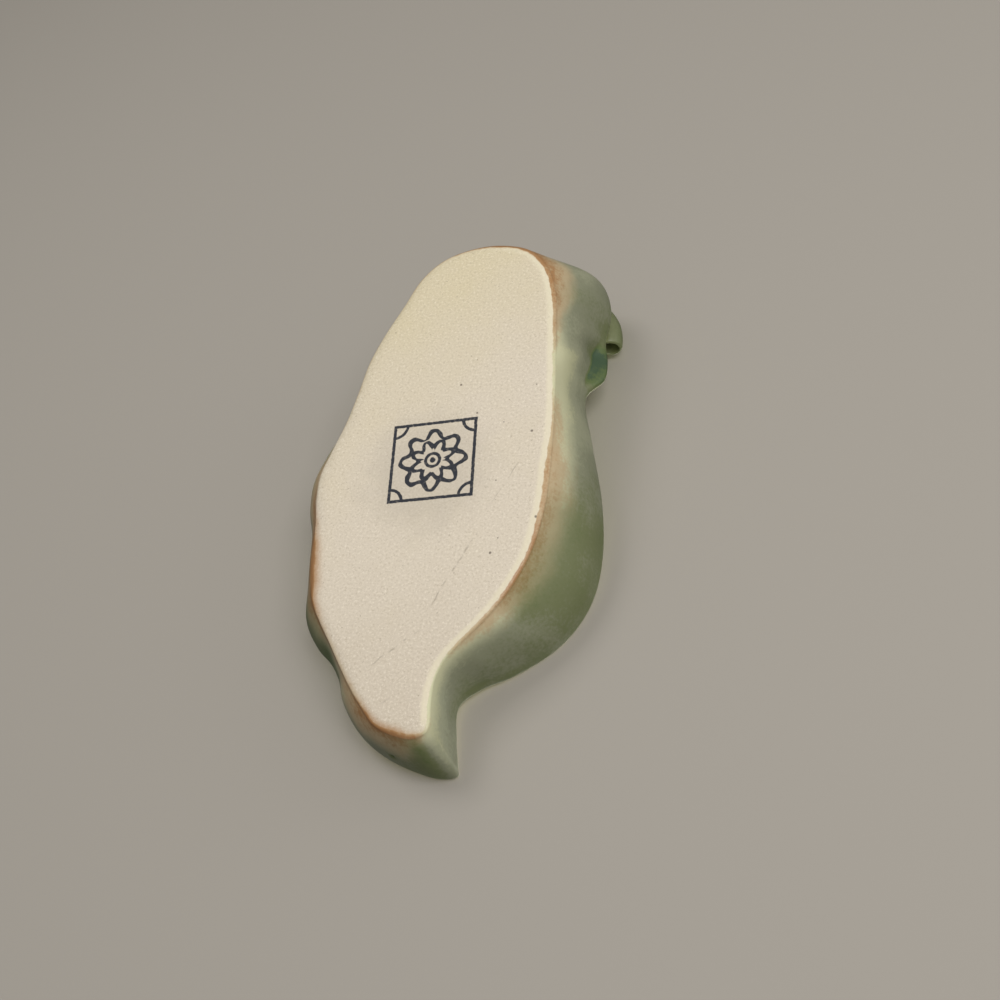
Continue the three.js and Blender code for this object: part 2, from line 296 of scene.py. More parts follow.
# Mesh steps. WALL_CROWDING is the power that crowds the wall's rings towards the foot.
PER_ROW = 12
FOOT_RINGS = (0.2, 0.5, 1.0, 1.6)
EDGE_STEPS = 9
WALL_STEPS = 48
WALL_CROWDING = 1.25
LIP_STEPS = 12
INSIDE_STEPS = 40
FLOOR_STEPS = 64
STEM_SIDES = 56
STEM_STEPS = 170
STEM_FINE_STEPS = 60
MOUTH_STEPS = 8

# Camera of the photograph: where it stands and its own axes, with the focal length for a 36 mm sensor
CAMERA_AT = Vector((-0.0938, -0.1026, -0.1965))
CAMERA_RIGHT = Vector((-0.938, 0.190, 0.288))
CAMERA_UP = Vector((0.039, 0.889, -0.457))
CAMERA_LENS = 43.2
SENSOR_WIDTH = 36.0

# Where the main light comes from
KEY_SIDE = (-0.45, 0.1, -0.88)

# Three points that the holder leans on in the photograph, upside down: the stem's crown, the near rim and
# the tip
TABLE_TOUCHES = [(-10.9, 59.2, 32.5), (-25.0, -27.4, 18.0), (-10.7, -55.6, 14.4)]


def curve_piece(p, steps):
    """Points on a centripetal Catmull-Rom curve from the second of four control points up to the third."""
    gap = [max(1e-6, np.linalg.norm(p[k + 1][:3] - p[k][:3]) ** 0.5) for k in range(3)]
    start = (p[1] - p[0]) / gap[0] - (p[2] - p[0]) / (gap[0] + gap[1]) + (p[2] - p[1]) / gap[1]
    end = (p[2] - p[1]) / gap[1] - (p[3] - p[1]) / (gap[1] + gap[2]) + (p[3] - p[2]) / gap[2]
    samples = []
    for step in range(steps):
        t = step / steps
        samples.append(
            p[1] * (2 * t**3 - 3 * t**2 + 1)
            + start * gap[1] * (t**3 - 2 * t**2 + t)
            + p[2] * (-2 * t**3 + 3 * t**2)
            + end * gap[1] * (t**3 - t**2)
        )
    return samples


def closed_curve(points, per_row):
    """Points on a smooth curve through closed control points."""
    control = np.asarray(points, float)
    samples = []
    for i in range(len(control)):
        samples.extend(curve_piece([control[(i + k - 1) % len(control)] for k in range(4)], per_row))
    return np.array(samples)


def open_curve(points, steps):
    """Evenly spaced points on a smooth curve through open control points, and its length."""
    control = np.asarray(points, float)
    padded = np.vstack([2 * control[0] - control[1], control, 2 * control[-1] - control[-2]])
    fine = []
    for i in range(1, len(padded) - 2):
        fine.extend(curve_piece(padded[i - 1 : i + 3], STEM_FINE_STEPS))
    fine.append(control[-1])
    fine = np.array(fine)
    length = np.concatenate([[0], np.cumsum(np.linalg.norm(np.diff(fine[:, :3], axis=0), axis=1))])
    at = np.linspace(0, length[-1], steps + 1)
    return np.column_stack([np.interp(at, length, fine[:, k]) for k in range(fine.shape[1])]), length[-1]


def between_rows(table, column, per_row):
    """One column of a table at every station, easing from row to row."""
    rows = np.array([row[column] for row in table])
    index = np.arange(len(rows) * per_row)
    row, t = index // per_row, (index % per_row) / per_row
    return rows[row] + (rows[(row + 1) % len(rows)] - rows[row]) * t * t * (3 - 2 * t)


def spine_near(y):
    """The point of the leaf's middle line that a point at this y leans away from."""
    share = np.clip((y - SPINE_BEND_Y) / (SPINE_TAIL[1] - SPINE_BEND_Y), 0, 1)
    x = SPINE_X + share * (SPINE_TAIL[0] - SPINE_X)
    tail_y = SPINE_BEND_Y + share * (SPINE_TAIL[1] - SPINE_BEND_Y)
    return np.column_stack([x, np.where(y >= SPINE_BEND_Y, np.minimum(y, SPINE_HEAD_Y), tail_y)])


def inward(points, distance):
    """Points moved towards the middle line by a distance, at their own height."""
    spine = spine_near(points[:, 1])
    away = points[:, :2] - spine
    length = np.linalg.norm(away, axis=1)
    share = np.maximum(LEAST_SHARE, 1 - distance / length)
    return np.column_stack([spine + away * share[:, None], points[:, 2]])


def lerp(a, b, share):
    return a + (b - a) * share


def smooth(value, low, high):
    """0 below low, 1 above high and an even curve between them."""
    t = np.clip((value - low) / (high - low), 0, 1)
    return t * t * (3 - 2 * t)


def bell(distance, width):
    return np.exp(-((distance / width) ** 2))


def at_height(points, z):
    out = np.array(points, float)
    out[:, 2] = z
    return out


def vein_share(points):
    """How much of a vein's height each point has: 1 on the midrib and less on the side veins, which fork."""
    x, y = points[:, 0], points[:, 1]
    middle = spine_near(y)[:, 0]
    side = np.abs(x - middle)
    along = y + VEIN_SLOPE * side + VEIN_CURVE * side**2 + np.where(x > middle, VEIN_PITCH / 2, 0)
    offset = np.abs(along - VEIN_PITCH * np.round(along / VEIN_PITCH))
    fork = FORK_SPREAD * smooth(side, FORK_START, VEIN_REACH)
    thinner = 1 - VEIN_TAPER * smooth(side, 0, VEIN_REACH)
    side_veins = VEIN_SHARE * thinner * bell(offset - fork, VEIN_WIDTH * thinner)
    fade = np.clip((VEIN_END_Y - y) / VEIN_FADE, 0, 1)
    return np.maximum(bell(side, MIDRIB_WIDTH), side_veins) * fade


def held_in(share):
    """How much of the groove's depth the wall has at a share of its height: none at the foot and the rim."""
    return smooth(share, 0.0, GROOVE_SHARE) * (1 - smooth(share, GROOVE_SHARE, 1.0))


class Leaf:
    """Foot, rim and wall of the leaf at every station around it."""

    def __init__(self):
        self.foot = closed_curve([(row[0], row[1], 0) for row in OUTLINE], PER_ROW)
        self.rim = closed_curve([row[2:5] for row in OUTLINE], PER_ROW)
        self.roundness = between_rows(OUTLINE, 5, PER_ROW)
        self.groove = between_rows(OUTLINE, 6, PER_ROW)
        columns = [between_rows(GLAZE_AND_SHADE, column, PER_ROW) for column in range(7)]
        self.band, self.flash, self.line, self.thick, self.run, self.glaze_start, self.stain = columns

    def wall(self, share):
        """The wall's outside at a share of its height."""
        outward = 1 - (1 - share) ** self.roundness
        points = lerp(self.foot, self.rim, outward[:, None])
        points[:, 2] = lerp(FOOT_BEVEL_HEIGHT, self.rim[:, 2], share)
        return inward(points, self.groove * held_in(share))

    def inside(self, share):
        """The wall's inside, from the lip at 0 to the edge of the tray's floor at 1."""
        turn = share * math.pi / 2
        height = lerp(self.rim[:, 2], FLOOR_THICKNESS, math.sin(turn))
        wall_share = (height - FOOT_BEVEL_HEIGHT) / (self.rim[:, 2] - FOOT_BEVEL_HEIGHT)
        outward = 1 - (1 - wall_share) ** self.roundness
        outside = lerp(self.foot, self.rim, outward[:, None])
        drawn_in = self.groove * held_in(wall_share)
        thickness = LIP_THICKNESS + (FLOOR_INSET - LIP_THICKNESS) * (1 - math.cos(turn))
        return at_height(inward(outside, thickness + drawn_in), height)


def dents(points):
    """Uneven waves from -1 to 1 along the foot's edge."""
    steps = np.linalg.norm(np.roll(points, -1, axis=0) - points, axis=1)
    turn = 2 * math.pi * np.cumsum(steps) / steps.sum()
    return sum(share * np.sin(count * turn + start) for count, start, share in DENT_WAVES)


def hollowness(points):
    """How hollow the outline is at each point, seen from outside: above 0 in a hollow, below 0 on a ridge."""
    ahead = np.roll(points[:, :2], -1, axis=0) - points[:, :2]
    behind = points[:, :2] - np.roll(points[:, :2], 1, axis=0)
    turn = behind[:, 0] * ahead[:, 1] - behind[:, 1] * ahead[:, 0]
    bend = -turn / (np.linalg.norm(ahead, axis=1) * np.linalg.norm(behind, axis=1))
    bend /= np.linalg.norm(ahead, axis=1)
    stations = np.arange(-HOLLOW_REACH, HOLLOW_REACH + 1)
    weights = bell(stations, HOLLOW_REACH / 2)
    return sum(weight * np.roll(bend, station) for station, weight in zip(stations, weights)) / weights.sum()


def raised(rings, heights):
    """Rings of points moved along the surface's own normal by a height for each point."""
    grid = np.array(rings)
    around = np.roll(grid, -1, axis=1) - np.roll(grid, 1, axis=1)
    across = np.gradient(grid, axis=0)
    normal = np.cross(around, across)
    normal /= np.maximum(1e-9, np.linalg.norm(normal, axis=2, keepdims=True))
    return list(grid + normal * np.array(heights)[:, :, None])


def skin_mesh(name, rings, marks, last=None):
    """A closed mesh from rings of points. It starts with a flat face and ends with another or with a fan."""
    around = len(rings[0])
    ends = [] if last is None else [last]
    points = np.vstack([*rings, *([end] for end in ends)]) * MM
    faces = []
    for ring in range(len(rings) - 1):
        a, b = ring * around, (ring + 1) * around
        for i in range(around):
            j = (i + 1) % around
            faces.append((a + i, a + j, b + j, b + i))
    top = (len(rings) - 1) * around
    if last is None:
        faces.append(tuple(range(top, top + around)))
    else:
        faces.extend((len(points) - 1, top + i, top + (i + 1) % around) for i in range(around))
    faces.append(tuple(reversed(range(around))))
    mesh = bpy.data.meshes.new(name)
    mesh.from_pydata(points.tolist(), [], faces)
    for mark, values in marks.items():
        numbers = np.concatenate([*values, values[-1][:1]] if ends else values)
        mesh.attributes.new(mark, "FLOAT", "POINT").data.foreach_set("value", numbers.astype(np.float32))
    for polygon in mesh.polygons:
        polygon.use_smooth = len(polygon.vertices) <= 4
    mesh.update()
    piece = bpy.data.objects.new(name, mesh)
    bpy.context.scene.collection.objects.link(piece)
    return piece


def wall_glaze_and_shade(leaf, points, share):
    """The glaze's thickness at the wall's points at a share of its height, with painted shade in the same
    value.
    """
    hollow = np.clip(hollowness(points) * HOLLOW_GAIN, -1, 1) * smooth(share, *HOLLOW_RISE)
    # Above the groove: pooled glaze and painted shade under the flared lip
    above = smooth(share, GROOVE_SHARE - GROOVE_POOL_AND_SHADE_BLUR, GROOVE_SHARE + GROOVE_POOL_AND_SHADE_BLUR)
    # The rise of the glaze towards the rim is partly painted shade
    run = leaf.run * (smooth(share, 0.0, RUN_AND_SHADE_TOP) - 0.5)
    return leaf.thick + run + hollow * HOLLOW_POOL + leaf.groove / GROOVE_POOL_AND_SHADE * above


class TraySkin:
    """The tray's rings of points, from the foot into the hollow, with what the glaze needs at each point."""

    def __init__(self, leaf):
        self.leaf = leaf
        self.rings = []
        self.marks = {"past_mm": [], "thick": [], "band_mm": [], "flash": [], "line": [], "stain_mm": []}

    def add(self, points, past, thick=0.0):
        """One ring, how far it is past the clay and its glaze's thickness, a value that also carries painted
        shade.
        """
        leaf = self.leaf
        around = {"band_mm": leaf.band, "flash": leaf.flash, "line": leaf.line, "stain_mm": leaf.stain}
        self.rings.append(points)
        for mark, value in {"past_mm": past, "thick": thick, **around}.items():
            self.marks[mark].append(np.broadcast_to(np.asarray(value, float), (len(points),)))

    def add_foot(self):
        """The flat foot and its worn edge. Gives the edge's last ring and how far that is past the clay."""
        leaf = self.leaf
        flat_edge = inward(leaf.foot, WORN_WIDTH + WORN_DENTS * dents(leaf.foot))
        before = flat_edge
        length = 0.0
        edge = []
        for step in range(1, EDGE_STEPS + 1):
            angle = math.pi / 2 * step / EDGE_STEPS
            points = lerp(flat_edge, leaf.foot, math.sin(angle))
            points = at_height(points, FOOT_BEVEL_HEIGHT * (1 - math.cos(angle)))
            length = length + np.linalg.norm(points - before, axis=1)
            before = points
            edge.append((points, length))
        clay_width = length - leaf.glaze_start
        for distance in reversed(FOOT_RINGS):
            self.add(inward(flat_edge, distance), -clay_width - distance)
        self.add(flat_edge, -clay_width)
        for points, distance in edge[:-1]:
            self.add(points, distance - clay_width)
        return before, length - clay_width

    def add_wall(self, before, past):
        """The wall's outside, with the pit in it. Gives how far the rim is past the clay."""
        for step in range(WALL_STEPS + 1):
            share = (step / WALL_STEPS) ** WALL_CROWDING
            points = self.leaf.wall(share)
            past = past + np.linalg.norm(points - before, axis=1)
            before = points
            pit = bell(np.linalg.norm(points - np.array(PIT), axis=1), PIT_WIDTH)
            thick = wall_glaze_and_shade(self.leaf, points, share) + pit * PIT_POOL
            self.add(inward(points, PIT_DEPTH * pit), past, thick)
        return past

    def add_lip(self, past):
        """The rounded lip, where the glaze is thin."""
        leaf = self.leaf
        for step in range(1, LIP_STEPS + 1):
            angle = math.pi * step / LIP_STEPS
            points = inward(leaf.rim, LIP_THICKNESS / 2 * (1 - math.cos(angle)))
            height = leaf.rim[:, 2] + LIP_THICKNESS / 2 * math.sin(angle)
            self.add(at_height(points, height), past + PAST_TO_LIP, leaf.thick * LIP_GLAZE - math.sin(angle))

    def add_hollow(self):
        """The wall's inside and the tray's floor, with veins. Gives the point that the floor ends in."""
        rings = []
        heights = []
        for step in range(1, INSIDE_STEPS + 1):
            share = step / INSIDE_STEPS
            points = self.leaf.inside(share)
            rings.append(points)
            heights.append(VEIN_HEIGHT * vein_share(points) * smooth(share, *VEIN_RISE))
        bottom = rings[-1]
        centre = np.array([*FAN_CENTRE, FLOOR_THICKNESS])
        for step in range(1, FLOOR_STEPS):
            points = lerp(bottom, centre, step / FLOOR_STEPS)
            rings.append(points)
            heights.append(VEIN_HEIGHT * vein_share(points))
        for points, height in zip(raised(rings, heights), heights):
            deep = smooth(-points[:, 2], -TRAY_POOL_HEIGHT, -FLOOR_THICKNESS)
            self.add(points, PAST_IN_TRAY, deep * TRAY_POOL - VEIN_THINNING * height / VEIN_HEIGHT)
        return centre + np.array([0, 0, VEIN_HEIGHT * vein_share(centre[None])[0]])


def make_tray():
    """The leaf's rings from the foot up the wall, over the lip and down into the hollow."""
    skin = TraySkin(Leaf())
    edge, past = skin.add_foot()
    past = skin.add_wall(edge, past)
    skin.add_lip(past)
    last = skin.add_hollow()
    return skin_mesh("celadon_leaf_tray", skin.rings, skin.marks, last)


def tube_frames(path):
    """Two directions across the path at each of its points, turning as little as they can."""
    tangents = np.gradient(path, axis=0)
    tangents /= np.linalg.norm(tangents, axis=1, keepdims=True)
    normal = np.cross(tangents[0], (0, 0, 1))
    normals = []
    for tangent in tangents:
        normal = normal - tangent * (normal @ tangent)
        normal /= np.linalg.norm(normal)
        normals.append(normal)
    normals = np.array(normals)
    return normals, np.cross(tangents, normals), tangents


def make_stem():
    """The bar from its root to its rounded end, and back into the socket."""
    line, length = open_curve(STEM_PATH, STEM_STEPS)
    path, radii = line[:, :3], line[:, 3]
    across, over, tangents = tube_frames(path)
    angles = np.linspace(0, 2 * math.pi, STEM_SIDES, endpoint=False)
    rings = []
    marks = {"thick": []}

    def add(index, radius, back=0.0):
        middle = path[index] - tangents[index] * back
        sideways = np.outer(np.cos(angles), across[index]) + np.outer(np.sin(angles), over[index])
        rings.append(middle + sideways * radius)
        marks["thick"].append(np.full(STEM_SIDES, STEM_GLAZE))

    mouth_steps = round(STEM_STEPS * MOUTH_ROUNDING / length)
    for index in range(STEM_STEPS - mouth_steps):
        add(index, radii[index])
    for step in range(MOUTH_STEPS + 1):
        angle = math.pi / 2 * step / MOUTH_STEPS
        radius = lerp(SOCKET_MOUTH_RADIUS, radii[-1], math.cos(angle))
        add(STEM_STEPS, radius, MOUTH_ROUNDING * (1 - math.sin(angle)))
    socket_steps = round(STEM_STEPS * SOCKET_DEPTH / length)
    for step in range(1, socket_steps + 1):
        depth = step / socket_steps * SOCKET_DEPTH
        radius = lerp(SOCKET_MOUTH_RADIUS, SOCKET_THROAT_RADIUS, min(1, depth / SOCKET_FLARE))
        add(STEM_STEPS - step, radius)
    return skin_mesh("celadon_stem", rings, marks)


class Graph:
    """A short way to write a node tree: each method adds one node and gives its output socket."""

    def __init__(self, tree):
        self.tree = tree
        tree.nodes.clear()

    def node(self, kind, **settings):
        made = self.tree.nodes.new(kind)
        for key, value in settings.items():
            setattr(made, key, value)
        return made

    def put(self, socket, value):
        if isinstance(value, bpy.types.NodeSocket):
            self.tree.links.new(value, socket)
        elif value is not None:
            socket.default_value = value

    def math(self, operation, a, b=None, c=None, clamp=False):
        made = self.node("ShaderNodeMath", operation=operation, use_clamp=clamp)
        for socket, value in zip(made.inputs, (a, b, c)):
            self.put(socket, value)
        return made.outputs[0]

    def vector(self, operation, a, b=None, scale=None):
        made = self.node("ShaderNodeVectorMath", operation=operation)
        self.put(made.inputs[0], a)
        if scale is None:
            self.put(made.inputs[1], b)
        else:
            self.put(made.inputs["Scale"], scale)
        gives_number = operation in ("LENGTH", "DOT_PRODUCT", "DISTANCE")
        return made.outputs["Value" if gives_number else "Vector"]

    def ramp(self, value, low, high, to_low=0.0, to_high=1.0):
        made = self.node("ShaderNodeMapRange", interpolation_type="SMOOTHSTEP")
        given = {"Value": value, "From Min": low, "From Max": high, "To Min": to_low, "To Max": to_high}
        for name, number in given.items():
            self.put(made.inputs[name], number)
        return made.outputs[0]

    def mix(self, share, a, b):
        made = self.node("ShaderNodeMix", data_type="RGBA")
        self.put(made.inputs["Factor"], share)
        self.put(made.inputs["A"], a)
        self.put(made.inputs["B"], b)
        return made.outputs["Result"]

    def stops(self, value, colours):
        """A colour ramp through evenly spaced colours."""
        made = self.node("ShaderNodeValToRGB")
        made.color_ramp.interpolation = "EASE"
        elements = made.color_ramp.elements
        while len(elements) < len(colours):
            elements.new(0.5)
        for index, shade in enumerate(colours):
            elements[index].position = index / (len(colours) - 1)
            elements[index].color = shade
        self.put(made.inputs["Fac"], value)
        return made.outputs["Color"]

    def parts(self, vector):
        made = self.node("ShaderNodeSeparateXYZ")
        self.put(made.inputs[0], vector)
        return made.outputs

    def noise(self, where, size_mm, detail=3.0, roughness=0.55):
        made = self.node("ShaderNodeTexNoise")
        self.put(made.inputs["Vector"], where)
        made.inputs["Scale"].default_value = 1 / (size_mm * MM)
        made.inputs["Detail"].default_value = detail
        made.inputs["Roughness"].default_value = roughness
        return made.outputs["Fac"]

    def drift(self, where, size_mm, spread, detail=3.0):
        """Noise that swings about 0, over the spread in all."""
        return self.math("MULTIPLY_ADD", self.noise(where, size_mm, detail), spread, -spread / 2)

    def hypot(self, a, b):
        """The length of an arrow with these two parts."""
        squares = self.math("ADD", self.math("POWER", a, 2.0), self.math("POWER", b, 2.0))
        return self.math("SQRT", squares)

    def attribute(self, name):
        return self.node("ShaderNodeAttribute", attribute_name=name).outputs["Fac"]


def colour(red, green, blue):
    """A colour written as a display shows it, from 0 to 255, as Blender's linear colour."""
    def linear(part):
        part /= 255
        return part / 12.92 if part <= 0.04045 else ((part + 0.055) / 1.055) ** 2.4
    return (linear(red), linear(green), linear(blue), 1.0)


# Glaze from thin to thick, whose darker end also shows the shade painted into the glaze's value, and what
# shows along and under the foot
GLAZE_STOPS = [
    colour(186, 184, 146),
    colour(158, 158, 130),
    colour(136, 137, 111),
    colour(113, 118, 80),
    colour(90, 105, 57),
    colour(58, 80, 53),
]
FLASH_STOPS = [
    colour(206, 203, 165),
    colour(196, 172, 134),
    colour(168, 122, 74),
]
FLASH_FADE = 0.45
STREAK_STRETCH = (1.0, 0.3, 1.0)
BROWN_LINE = colour(136, 96, 58)
CLAY = colour(211, 199, 180)
WARM_CLAY = colour(209, 196, 163)
# Pale clay of the worn edge, which also serves as a painted highlight
WORN_CLAY_AND_HIGHLIGHT = colour(224, 214, 186)
# Clay in painted shade towards the tip
SHADED_CLAY = colour(198, 185, 166)
DARK_SAND = colour(176, 162, 136)
LIGHT_SAND = colour(238, 228, 210)
GRIT = colour(140, 124, 100)
SMUDGE = colour(178, 168, 152)
COBALT = colour(24, 30, 42)
SPECK_BROWN = colour(70, 56, 44)
SCRATCH_GREY = colour(150, 138, 120)

# Gloss of the glaze, how much rougher the clay is, and the relief of its grain in millimetres
GLAZE_ROUGHNESS = 0.34
CLAY_ROUGHER = 0.45
BUMP_HEIGHT = 0.08
BUMP_STRENGTH = 0.6

# The studio: what the camera sees behind, the paint of the floors, the tint of the soft light that comes from
# all around, how strong that is on the far side and towards the main light, and half a floor's side in metres
BACKGROUND = colour(206, 201, 194)
FLOOR_PALE = colour(163, 157, 148)
ROOM_LIGHT = (1.0, 0.99, 0.97, 1.0)
ROOM_DIM = 0.075
ROOM_BRIGHT = 0.515
FLOOR_HALF_SIZE = 2.0


def glaze_colour(g, where, thick):
    """Celadon: straw where it is thin, grey-green, and deep green where it is thicker; the value it is given
    also carries painted shade.
    """
    cloudy = g.drift(where, 9.0, 1.0, 4.0)
    speckled = g.drift(where, 0.7, 0.7, 2.0)
    share = g.math("ADD", g.math("ADD", thick, cloudy), speckled)
    return g.stops(g.math("MULTIPLY_ADD", share, 0.4, 0.4), GLAZE_STOPS)


def flash_colour(g, where, flash):
    """Iron in the clay turns the thin glaze along the foot from straw to orange, in streaks."""
    streaks = g.drift(g.vector("MULTIPLY", where, STREAK_STRETCH), 1.5, 0.7)
    grains = g.drift(where, 0.6, 0.6, 2.0)
    return g.stops(g.math("ADD", g.math("ADD", flash, streaks), grains), FLASH_STOPS)


def clay_colour(g, where):
    """Buff clay with sand and grit, yellower towards the leaf's broad end and with painted shade darkening it
    towards its tip.
    """
    x, y, _ = g.parts(where)
    towards_head = g.math("MULTIPLY_ADD", x, 0.8, y)
    cloudy = g.drift(where, 16.0, 0.8)
    warm = g.math("ADD", g.ramp(towards_head, 0.0, 0.07), cloudy, clamp=True)
    clay = g.mix(warm, CLAY, WARM_CLAY)
    # Painted shade: the clay darkens towards the tip
    towards_tip = g.math("MULTIPLY_ADD", g.noise(where, 12.0), 0.03, y)
    clay = g.mix(g.ramp(towards_tip, 0.0, -0.04, 0.0, 0.6), clay, SHADED_CLAY)
    sand = g.noise(where, 0.5, 3.0, 0.8)
    clay = g.mix(g.ramp(sand, 0.52, 0.7, 0.0, 0.6), clay, DARK_SAND)
    grit = g.noise(where, 0.9, 2.0, 0.8)
    clay = g.mix(g.ramp(grit, 0.64, 0.76, 0.0, 0.6), clay, GRIT)
    return g.mix(g.ramp(sand, 0.47, 0.33, 0.0, 0.55), clay, LIGHT_SAND), sand


def printed(g, distance, width):
    """How inky a line or dot is, from the distance to its middle and half its width."""
    return g.ramp(distance, g.math("ADD", width, -INK_BLUR), g.math("ADD", width, INK_BLUR), 1.0, 0.0)


def petals(g, radius, angle, mean, depth, turn, width):
    """A closed line that swings in and out around the middle, like the outline of a flower."""
    swing = g.math("MULTIPLY_ADD", angle, PETAL_COUNT, turn)
    outline = g.math("MULTIPLY_ADD", g.math("COSINE", swing), depth, mean)
    slope = g.math("MULTIPLY", g.math("SINE", swing), depth * PETAL_COUNT)
    steep = g.hypot(radius, slope)
    off = g.math("ABSOLUTE", g.math("SUBTRACT", radius, outline))
    return printed(g, g.math("DIVIDE", g.math("MULTIPLY", off, radius), steep), width)


def seal_ink(g, flat):
    """How inky each point of the foot is: a square with a double flower, a ring, a dot and corner arcs."""
    off = g.vector("SUBTRACT", flat, (SEAL_CENTRE[0] * MM, SEAL_CENTRE[1] * MM, 0.0))
    rough = g.noise(flat, 0.7, 2.0)
    pressure = g.noise(flat, 2.2, 1.0)
    right = (-SEAL_UP[1] / MM, SEAL_UP[0] / MM, 0.0)
    up = (SEAL_UP[0] / MM, SEAL_UP[1] / MM, 0.0)
    u = g.vector("DOT_PRODUCT", off, right)
    v = g.vector("DOT_PRODUCT", off, up)
    width = g.math("MULTIPLY_ADD", rough, SEAL_LINE_WAVER, SEAL_LINE - SEAL_LINE_WAVER / 2)
    side = g.math("MAXIMUM", g.math("ABSOLUTE", u), g.math("ABSOLUTE", v))
    frame_line = printed(g, g.math("ABSOLUTE", g.math("ADD", side, -SEAL_HALF)), width)
    radius = g.hypot(u, v)
    angle = g.math("ARCTAN2", v, u)
    brush = g.math("MULTIPLY_ADD", pressure, BRUSH_SWELL, BRUSH_LEAST)
    shapes = [petals(g, radius, angle, mean, depth, turn, brush) for mean, depth, turn in PETAL_LINES]
    shapes.append(printed(g, g.math("ABSOLUTE", g.math("ADD", radius, -SEAL_RING)), width))
    shapes.append(printed(g, radius, g.math("MULTIPLY", width, SEAL_DOT)))
    corner_u = g.math("ADD", g.math("ABSOLUTE", u), -SEAL_HALF)
    corner_v = g.math("ADD", g.math("ABSOLUTE", v), -SEAL_HALF)
    to_corner = g.hypot(corner_u, corner_v)
    arc = printed(g, g.math("ABSOLUTE", g.math("ADD", to_corner, -SEAL_CORNER)), width)
    inside = g.math("LESS_THAN", side, SEAL_HALF)
    shapes.append(g.math("MULTIPLY", arc, inside))
    ink = frame_line
    for shape in shapes:
        ink = g.math("MAXIMUM", ink, shape)
    return g.math("MULTIPLY", ink, g.ramp(rough, 0.25, 0.5, 0.85, 0.98))


def speckled_clay(g, flat, clay):
    """The clay with its dark specks, and rubbed grey around the printed square."""
    from_seal = g.vector("DISTANCE", flat, (SMUDGE_CENTRE[0] * MM, SMUDGE_CENTRE[1] * MM, 0.0))
    uneven = g.math("MULTIPLY_ADD", g.noise(flat, 5.0), SMUDGE_WANDER * MM, from_seal)
    clay = g.mix(g.ramp(uneven, SMUDGE_CORE * MM, SMUDGE_REACH * MM, 0.4, 0.0), clay, SMUDGE)
    speck = 0.0
    for x, y, radius in SPECKS:
        distance = g.vector("DISTANCE", flat, (x * MM, y * MM, 0.0))
        speck = g.math("MAXIMUM", speck, g.ramp(distance, radius * 0.5 * MM, radius * 1.3 * MM, 0.75, 0.0))
    return g.mix(speck, clay, SPECK_BROWN)


def scratched_clay(g, flat, clay):
    """The clay with faint broken scratches that wander a little."""
    wander = g.drift(flat, 4.0, SCRATCH_WANDER * MM, 2.0)
    scratch = 0.0
    for start, end, width in SCRATCHES:
        a = Vector((*start, 0.0)) * MM
        b = Vector((*end, 0.0)) * MM
        length = (b - a).length
        along = (b - a) / length
        across = Vector((-along.y, along.x, 0.0))
        from_start = g.vector("SUBTRACT", flat, tuple(a))
        off = g.math("ABSOLUTE", g.math("ADD", g.vector("DOT_PRODUCT", from_start, tuple(across)), wander))
        reached = g.vector("DOT_PRODUCT", from_start, tuple(along))
        begun = g.ramp(reached, 0.0, SCRATCH_FADE * MM)
        ended = g.ramp(reached, length - SCRATCH_FADE * MM, length, 1.0, 0.0)
        line = g.math("MULTIPLY", g.ramp(off, 0.0, width * MM, 0.6, 0.0), g.math("MULTIPLY", begun, ended))
        scratch = g.math("MAXIMUM", scratch, line)
    broken = g.ramp(g.noise(flat, 2.5, 3.0), 0.4, 0.58)
    return g.mix(g.math("MULTIPLY", scratch, broken), clay, SCRATCH_GREY)


def banded_glaze(g, where, past, across, flashed, glaze):
    """The glaze with its band along the foot, which a brown line parts from the clay."""
    line = g.math("MULTIPLY", g.ramp(past, -0.1, 0.6), g.ramp(past, 0.6, 1.5, 0.9, 0.0))
    line = g.math("MULTIPLY", g.attribute("line"), line, clamp=True)
    # The glaze shows through the band more where its value is higher, a value that also carries painted shade
    through = g.math("MULTIPLY_ADD", g.attribute("thick"), 0.5, 0.08, clamp=True)
    through = g.math("MULTIPLY_ADD", across, 0.3, through)
    band = g.mix(line, g.mix(through, flashed, glaze), BROWN_LINE)
    past_band = g.math("SUBTRACT", g.math("ADD", past, g.drift(where, 6.0, 3.6)), g.attribute("band_mm"))
    return g.mix(g.ramp(past_band, -1.8, 3.0), band, glaze)


def bare_clay(g, where, past, flashed):
    """The foot's clay, pale from wear with a painted highlight along the edge facing the main light, orange
    next to the band, with its print. Gives its sand too.
    """
    clay, sand = clay_colour(g, where)
    stain_mm = g.attribute("stain_mm")
    # Paler along the edge from wear, with a painted highlight there on the side facing the main light, where
    # the stain is slight
    worn_and_highlight = g.math("MULTIPLY", g.ramp(past, -1.7, -0.7), g.ramp(stain_mm, 0.2, 1.2, 0.7, 0.0))
    clay = g.mix(worn_and_highlight, clay, WORN_CLAY_AND_HIGHLIGHT)
    flat = g.vector("MULTIPLY", where, (1.0, 1.0, 0.0))
    clay = scratched_clay(g, flat, speckled_clay(g, flat, clay))
    clay = g.mix(seal_ink(g, flat), clay, COBALT)
    stain = g.math("POWER", g.ramp(past, g.math("MULTIPLY", stain_mm, -1.0), 0.3), 2.0)
    return g.mix(g.math("MULTIPLY", stain, 0.8), clay, flashed), sand


def foot_and_band(g, where, glaze):
    """The glaze with its band, and the clay inside it. Gives how glazed each point is and the sand too."""
    past = g.math("ADD", g.attribute("past_mm"), g.drift(where, 2.0, 0.7))
    across = g.ramp(past, 0.0, g.math("ADD", g.attribute("band_mm"), 1.0))
    flashed = flash_colour(g, where, g.math("MULTIPLY_ADD", across, -FLASH_FADE, g.attribute("flash")))
    band = banded_glaze(g, where, past, across, flashed, glaze)
    clay, sand = bare_clay(g, where, past, flashed)
    glazed = g.ramp(past, -0.12, 0.12)
    return g.mix(glazed, clay, band), glazed, sand


